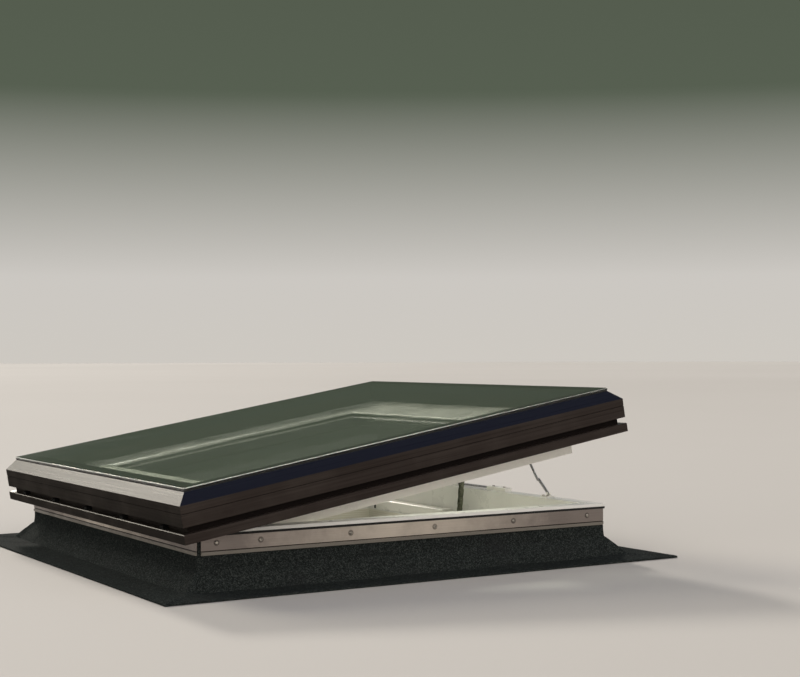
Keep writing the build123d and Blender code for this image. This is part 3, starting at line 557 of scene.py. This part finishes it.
# The fixed frame's duller white is painted shade.
SHADED_WHITE, SHADED_SOIL = (0.75, 0.745, 0.72), (0.62, 0.61, 0.57)
frame_white = {run: white_plastic("white_frame_" + run, run, 0.0, SHADED_WHITE, SHADED_SOIL) for run in "xy"}
sash_white = {run: white_plastic("white_sash_" + run, run, opening) for run in "xy"}
bead_white = white_plastic("white_bead", "x", opening, hinge_shade=0.85)
fitting_white = white_plastic("white_fitting", "y", 0.0, (0.84, 0.83, 0.79), (0.68, 0.67, 0.62))
print("white finishes:", len(frame_white) + len(sash_white), bead_white.name, fitting_white.name)

# %% [markdown]
# ## Rubber and dark plastic
#
# Seals are black rubber, matt and slightly chalky. The drive's end pieces and the weep blocks
# are dark moulded plastic with a fine spark-eroded texture. The border of the cover glass is
# black enamel, which hides the seal under it. It is burnt onto the glass, so it has no shine of
# its own, and its index is 1.

# %% Rubber and dark plastic
def matt(name, deep, chalky, rough, pits, index=1.35):
    """A matt finish between two colours, with this many pits to the metre."""
    material, tree, shader = blank(name)
    shader.inputs["IOR"].default_value = index
    place = own_place(tree)
    chalk = cloudy(tree, place, scale=35.0, detail=8.0, roughness=0.7)
    tree.links.new(ramp(tree, chalk, (0.4, deep), (0.75, chalky)), shader.inputs["Base Color"])
    worn = spread(tree, chalk, rough, rough + 0.15, start=0.35, end=0.7)
    tree.links.new(worn, shader.inputs["Roughness"])
    relief(tree, shader, cloudy(tree, place, scale=pits, detail=2.0), strength=0.3, depth=0.0002)
    return material


rubber = matt("seal_rubber", (0.007, 0.007, 0.007), (0.018, 0.018, 0.017), 0.6, 500.0)
weep_plastic = matt("weep_plastic", (0.005, 0.005, 0.005), (0.009, 0.009, 0.009), 0.7, 800.0, index=1.1)
dark_plastic = matt("dark_plastic", (0.03, 0.03, 0.031), (0.055, 0.055, 0.056), 0.45, 800.0)
enamel = matt("border_enamel", (0.006, 0.006, 0.006), (0.012, 0.012, 0.012), 0.8, 300.0, index=1.0)
print("matt finishes:", rubber.name, weep_plastic.name, dark_plastic.name, enamel.name)

# %% [markdown]
# ## Timber and board
#
# The kerb under the frame is sawn softwood with a coat of white primer, and the cant strips
# behind the felt are fibre board. Little of them shows, but from inside the opening the kerb
# does. Year rings are waves across the grain, bent a little by noise, and they show through the
# primer as faint warm lines.

# %% Timber and board finishes
PRIMER, GRAIN_LINE = (0.74, 0.72, 0.64), (0.62, 0.58, 0.48)


def timber(name, run):
    """Primed softwood, its grain along the run."""
    material, tree, shader = blank(name, rough=0.7)
    fibres = cloudy(tree, along(tree, run, 0.0, lengthwise=8, crosswise=420), scale=1.0, detail=5.0)
    across = along(tree, run, 0.0, lengthwise=0.6, crosswise=45)
    waves = {"Vector": across, "Scale": 1.0, "Distortion": 5.0, "Detail": 2.0}
    rings = add(tree, "TexWave", waves, bands_direction="Z").outputs["Fac"]
    grain = math_node(tree, "MULTIPLY", rings, fibres)
    tree.links.new(ramp(tree, grain, (0.05, PRIMER), (0.7, GRAIN_LINE)), shader.inputs["Base Color"])
    tree.links.new(spread(tree, fibres, 0.6, 0.8), shader.inputs["Roughness"])
    relief(tree, shader, fibres, strength=0.4, depth=0.0005)
    return material


kerb_wood = {run: timber("timber_" + run, run) for run in "xy"}
cant_board = matt("cant_board", (0.30, 0.22, 0.13), (0.42, 0.33, 0.21), 0.8, 300.0)
print("wood finishes:", [m.name for m in kerb_wood.values()], cant_board.name)

# %% [markdown]
# ## Clear glass
#
# Each pane is a solid of clear glass with polished faces. Two things make it read as glass: its
# reflections, which grow strong at a shallow angle, and the green of its edges. Blender's path
# tracer doesn't send lamp light through bent glass well, so rays on their way to a lamp are let
# through by a plain transparent shader, and the inside of the skylight is lit as it should be.
# Such a ray crosses two faces of a pane, so each face takes the square root of the tint. A faint
# smear pattern in the roughness keeps the mirror from looking like a void. The flat cover pane is
# a little darker than the two panes below. The upper part of its edge is ground, so it is rough
# beyond the distance that its band gives.

# %% Glass finish
GLASS_INDEX = 1.5
GROUND_EDGE = 0.7


def clear_glass(name, tint, ground=False):
    """Clear glass with a faint tint. ground makes the upper part of its edge rough."""
    material, tree, shader = blank(name, rough=0.0)
    shader.inputs["Base Color"].default_value = (*tint, 1)
    shader.inputs["Transmission Weight"].default_value = 1.0
    shader.inputs["IOR"].default_value = GLASS_INDEX
    place = own_place(tree)
    smear = cloudy(tree, place, scale=5.0, detail=8.0, roughness=0.6)
    rough = spread(tree, smear, 0.0, 0.035, start=0.5, end=0.8)
    if ground:
        closed = untilted(tree, opening)
        level = add(tree, "SeparateXYZ", {0: closed}).outputs["Z"]
        high = math_node(tree, "GREATER_THAN", level, PANE["low"])
        edge = math_node(tree, "SUBTRACT", high, within(tree, closed, PANE))
        rough = math_node(tree, "ADD", rough, spread(tree, edge, 0.0, GROUND_EDGE))
    tree.links.new(rough, shader.inputs["Roughness"])
    relief(tree, shader, cloudy(tree, place, scale=6.0, detail=1.0), strength=0.08, depth=0.002)
    to_lamp = add(tree, "LightPath").outputs["Is Shadow Ray"]
    one_face = [math.sqrt(value) for value in tint]
    open_way = add(tree, "BsdfTransparent", {"Color": (*one_face, 1)}).outputs["BSDF"]
    mixed = add(tree, "MixShader", {0: to_lamp, 1: shader.outputs["BSDF"], 2: open_way}).outputs[0]
    tree.links.new(mixed, tree.nodes["Material Output"].inputs["Surface"])
    return material


inner_glass = clear_glass("clear_glass", (0.96, 0.98, 0.965))
cover_glass = clear_glass("cover_glass", (0.80, 0.84, 0.81), ground=True)
print("glass:", inner_glass.name, cover_glass.name)

# %% [markdown]
# ## Mineral felt
#
# The roof is covered with bitumen felt faced with crushed slate, dark blue-grey. The flakes are
# one to three millimetres across, some paler than others, and the sheet as a whole is mottled
# where flakes have worn off. A cell pattern gives each flake its own grey and a relief of its
# own. Broken stone hardly shines, so the index is close to 1 and the flakes show from every side.

# %% Felt finish
SLATE = (
    (0.08, (0.0105, 0.0125, 0.0125)),
    (0.30, (0.021, 0.0255, 0.025)),
    (0.55, (0.056, 0.064, 0.060)),
)
BARE_FELT = (0.02, 0.021, 0.022)
STONE_INDEX = 1.05
FLAKES_TO_THE_METRE = 480.0


def mineral_felt(name):
    """Felt with slate flakes on it, worn bare in places."""
    material, tree, shader = blank(name)
    shader.inputs["IOR"].default_value = STONE_INDEX
    place = own_place(tree)
    flakes = add(tree, "TexVoronoi", {"Vector": place, "Scale": FLAKES_TO_THE_METRE}).outputs["Color"]
    level = add(tree, "SeparateColor", {0: flakes}).outputs[0]
    clumps = cloudy(tree, place, scale=190.0, detail=5.0, roughness=0.7)
    worn = cloudy(tree, place, scale=9.0, detail=6.0, roughness=0.6)
    speck = math_node(tree, "MULTIPLY", level, clumps)
    bare = spread(tree, worn, 0.0, 0.5, start=0.5, end=0.75)
    tree.links.new(blend(tree, bare, ramp(tree, speck, *SLATE), BARE_FELT), shader.inputs["Base Color"])
    tree.links.new(spread(tree, level, 0.7, 0.95), shader.inputs["Roughness"])
    relief(tree, shader, speck, strength=0.8, depth=0.0015)
    return material


felt = mineral_felt("mineral_felt")
print("felt:", felt.name)

# %% [markdown]
# ## Dress the pieces of the frame
#
# The record names a finish for each piece. Pieces whose finish has a direction end in the side
# they stand on, and that picks the right one. A piece with no side takes the finish along X.
# Three pieces have a finish of their own.

# %% Assign the finishes
plain = {
    "screw_steel": screw_steel, "fitting_steel": fitting_steel, "chain_steel": chain_steel,
    "white_fitting": fitting_white, "dark_plastic": dark_plastic, "seal_rubber": rubber,
    "clear_glass": inner_glass, "border_enamel": enamel, "spacer_metal": spacer_metal,
    "cant_board": cant_board, "mineral_felt": felt,
}
own = {"cover_glass": cover_glass, "weep_blocks": weep_plastic, "glazing_beads": bead_white}
directed = {"strip_aluminium": strip_metal, "dark_coating": coat, "timber": kerb_wood}
sash_nodes = set(frame["record"]["behaviour"]["bodies"]["sash"])


def finish_of(node, slot):
    """The material for a piece, from its name and the finish that the record gives it."""
    if node in own:
        return own[node]
    if slot in plain:
        return plain[slot]
    run = RUNS.get(node.rsplit("_", 1)[-1], "x")
    if slot == "white_frame":
        return (sash_white if node in sash_nodes else frame_white)[run]
    return directed[slot][run]


for row in frame["record"]["subparts"]:
    piece = frame["nodes"][row["node"]]
    piece.data.materials.clear()
    piece.data.materials.append(finish_of(row["node"], row["material_slot"]))

# %% [markdown]
# ## The felt as a soft skin
#
# The frame's felt has straight edges and knife-sharp corners. Real felt is torched on as a warm,
# limp sheet: it is never quite flat, it turns the corners in a rounded fold, and a separate
# patch is laid over each corner. So the felt is made again as one skin. Its section is a short
# list of points, and the section is carried round the kerb through many stations. Modelling
# straight runs and corners together in one loop keeps the skin whole, which joining four
# separate sheets at the corners would not.

# %% Section of the felt
FELT_FACE = 0.597
FELT_THICK = 0.004
FELT_TOP = 0.1275
FLARE_TOP = 0.051
FLARE_OUT = FELT_FACE + 0.044
FLANGE_OUT = 0.737
STRIP_BOTTOM = 0.084
BENDS = (
    (FELT_FACE, FELT_TOP), (FELT_FACE, STRIP_BOTTOM), (FELT_FACE, FLARE_TOP),
    (FLARE_OUT, FELT_THICK), (FLANGE_OUT, FELT_THICK),
)
POINTS_BETWEEN = (2, 8, 14, 14)


def steps(start, end, count):
    """Points from start up to but not including end."""
    return [tuple(a + (b - a) * i / count for a, b in zip(start, end)) for i in range(count)]


outside = []
for start, end, count in zip(BENDS, BENDS[1:], POINTS_BETWEEN):
    outside += steps(start, end, count)
outside += [(FLANGE_OUT, FELT_THICK), (FLANGE_OUT, 0.0)]
bend = FELT_THICK * math.tan(math.atan2(FLARE_OUT - FELT_FACE, FLARE_TOP - FELT_THICK) / 2)
back_face = FELT_FACE - FELT_THICK
inside = [(FLARE_OUT - bend, 0.0), (back_face, FLARE_TOP - bend), (back_face, FELT_TOP)]
print("points in the felt's section:", len(outside) + len(inside))

# %% [markdown]
# ## Stations round the kerb
#
# Each station is a place along one side, from minus one to one, or an angle in a corner fold.
# They crowd towards the corners, where the shape changes most. The fold is tight where the felt
# stands up and tighter still at the flange, which is cut square.

# %% Stations
SIDE_STEPS = 120
FOLD_STEPS = 6
CROWDING = 1.25
FOLD_RADIUS = 0.007
EDGE_RADIUS = 0.0025
QUARTER = math.pi / 2


def station(quarter, place, turned, out):
    """The point of the loop at distance out from the middle. turned is an angle within a fold, or None."""
    upright = max(0.0, min(1.0, (FLANGE_OUT - out) / (FLANGE_OUT - FLARE_OUT)))
    radius = EDGE_RADIUS + (FOLD_RADIUS - EDGE_RADIUS) * upright
    reach = out - radius
    if turned is None:
        point = Vector((out, place * reach, 0))
    else:
        point = Vector((reach + radius * math.cos(turned), reach + radius * math.sin(turned), 0))
    return Matrix.Rotation(quarter * QUARTER, 3, "Z") @ point


stations = []
for quarter in range(4):
    for i in range(SIDE_STEPS + 1):
        even = 2 * i / SIDE_STEPS - 1
        stations.append((quarter, math.copysign(1 - (1 - abs(even)) ** CROWDING, even), None))
    for i in range(1, FOLD_STEPS):
        stations.append((quarter, 1.0, i / FOLD_STEPS * QUARTER))
print("stations:", len(stations))

# %% [markdown]
# ## Waves, folds and patches
#
# How far the skin is pushed out at a point is the sum of three things: a slow waviness with a
# little quicker one in it, a soft ridge where the sheet gathers at each corner, and the step of
# the corner patch, which is a second layer of felt. All of them fade out under the clamping strip
# and at the flange's edge, where the sheet lies hard on what is beneath it.

# %% Push of the felt
SLOW_WAVE, SLOW_TO_THE_METRE = 0.0022, 9
QUICK_WAVE, QUICK_TO_THE_METRE = 0.0007, 31
QUICK_SHIFT = Vector((7, 3, 5))
RIDGE, RIDGE_WIDTH = 0.0035, 0.016
PATCH_REACH, PATCH_STEP = 0.150, 0.0016
PATCH_WANDER, WANDER_TO_THE_METRE = 0.010, 14
PATCH_EDGE = 0.002


def smooth(value, start, end):
    """A soft step from 0 at start to 1 at end."""
    share = max(0.0, min(1.0, (value - start) / (end - start)))
    return share * share * (3 - 2 * share)


def push(point, height, out, to_corner):
    """How far the skin is pushed out, to_corner metres along from the corner."""
    below, from_edge = STRIP_BOTTOM - height, FLANGE_OUT - out
    free = smooth(below, 0.0, 0.012) * smooth(from_edge, 0.0, 0.03)
    slow = noise.noise(Vector((point.x, point.y, height)) * SLOW_TO_THE_METRE) * SLOW_WAVE
    stretched = Vector((point.x, point.y, height * 2)) * QUICK_TO_THE_METRE
    quick = noise.noise(stretched + QUICK_SHIFT) * QUICK_WAVE
    ridge = RIDGE * math.exp(-(to_corner / RIDGE_WIDTH) ** 2) * smooth(below, 0.004, 0.05)
    wander = noise.noise(Vector((height * WANDER_TO_THE_METRE, out * WANDER_TO_THE_METRE, point.x)))
    edge = PATCH_REACH + PATCH_WANDER * wander
    patch = PATCH_STEP * (1 - smooth(to_corner, edge - PATCH_EDGE, edge + PATCH_EDGE))
    return free * (slow + quick + ridge) + patch * smooth(below, 0.0, 0.004) * smooth(from_edge, 0.0, 0.004)


print("the patches reach", PATCH_REACH, "m from each corner")

# %% [markdown]
# ## Making the skin
#
# Each point of the section becomes one ring of vertices round the kerb. A vertex is pushed at
# right angles to the section, so the flare is pushed outwards and upwards at once. The flange's
# outer edge and the back of the sheet aren't pushed. Faces then join each ring to the next, and
# the last ring to the first, which closes the skin. Smooth shading would blur the cut edges, so
# a modifier splits the skin where it turns sharply.

# %% Skin of the felt
SHARP = math.radians(40)


def outward(quarter, turned):
    """The way a station faces, seen from above."""
    angle = 0.0 if turned is None else turned
    return Matrix.Rotation(quarter * QUARTER, 3, "Z") @ Vector((math.cos(angle), math.sin(angle), 0))


shape = bmesh.new()
rings = []
for index, (out, height) in enumerate(outside + inside):
    loose = index < len(outside) - 2
    if loose:
        before, after = outside[max(index - 1, 0)], outside[index + 1]
        slope = Vector((after[0] - before[0], after[1] - before[1])).normalized()
    ring = []
    for quarter, place, turned in stations:
        point, rise = station(quarter, place, turned, out), 0.0
        if loose:
            to_corner = 0.0 if turned is not None else out * (1 - abs(place))
            shift = push(point, height, out, to_corner)
            point = point + outward(quarter, turned) * -slope.y * shift
            rise = slope.x * shift
        ring.append(shape.verts.new((point.x, point.y, height + rise)))
    rings.append(ring)
for ring, following in zip(rings, rings[1:] + rings[:1]):
    for i in range(len(ring)):
        j = (i + 1) % len(ring)
        shape.faces.new((ring[i], ring[j], following[j], following[i]))
bmesh.ops.recalc_face_normals(shape, faces=shape.faces)
felt_mesh = bpy.data.meshes.new("felt_skin")
shape.to_mesh(felt_mesh)
shape.free()
for face in felt_mesh.polygons:
    face.use_smooth = True

felt_skin = bpy.data.objects.new("felt_skin", felt_mesh)
scene.collection.objects.link(felt_skin)
felt_mesh.materials.append(felt)
felt_skin.modifiers.new("sharp edges", "EDGE_SPLIT").split_angle = SHARP
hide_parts("felt_flashing")
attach(felt_skin, "frame")
print("felt faces:", len(felt_mesh.polygons))

# %% [markdown]
# ## The chain that runs back into its drive
#
# As the sash comes down, the drive pulls the chain in and coils it up. The frame's chain is one
# rigid piece. A copy of it, with a mesh of its own, stands in its place and rides on the frame,
# and the frame's chain is hidden.

chain_links = bpy.data.objects.new("chain_links", frame["nodes"]["drive_chain"].data.copy())
scene.collection.objects.link(chain_links)
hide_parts("drive_chain")
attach(chain_links, "frame")
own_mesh(chain_links)
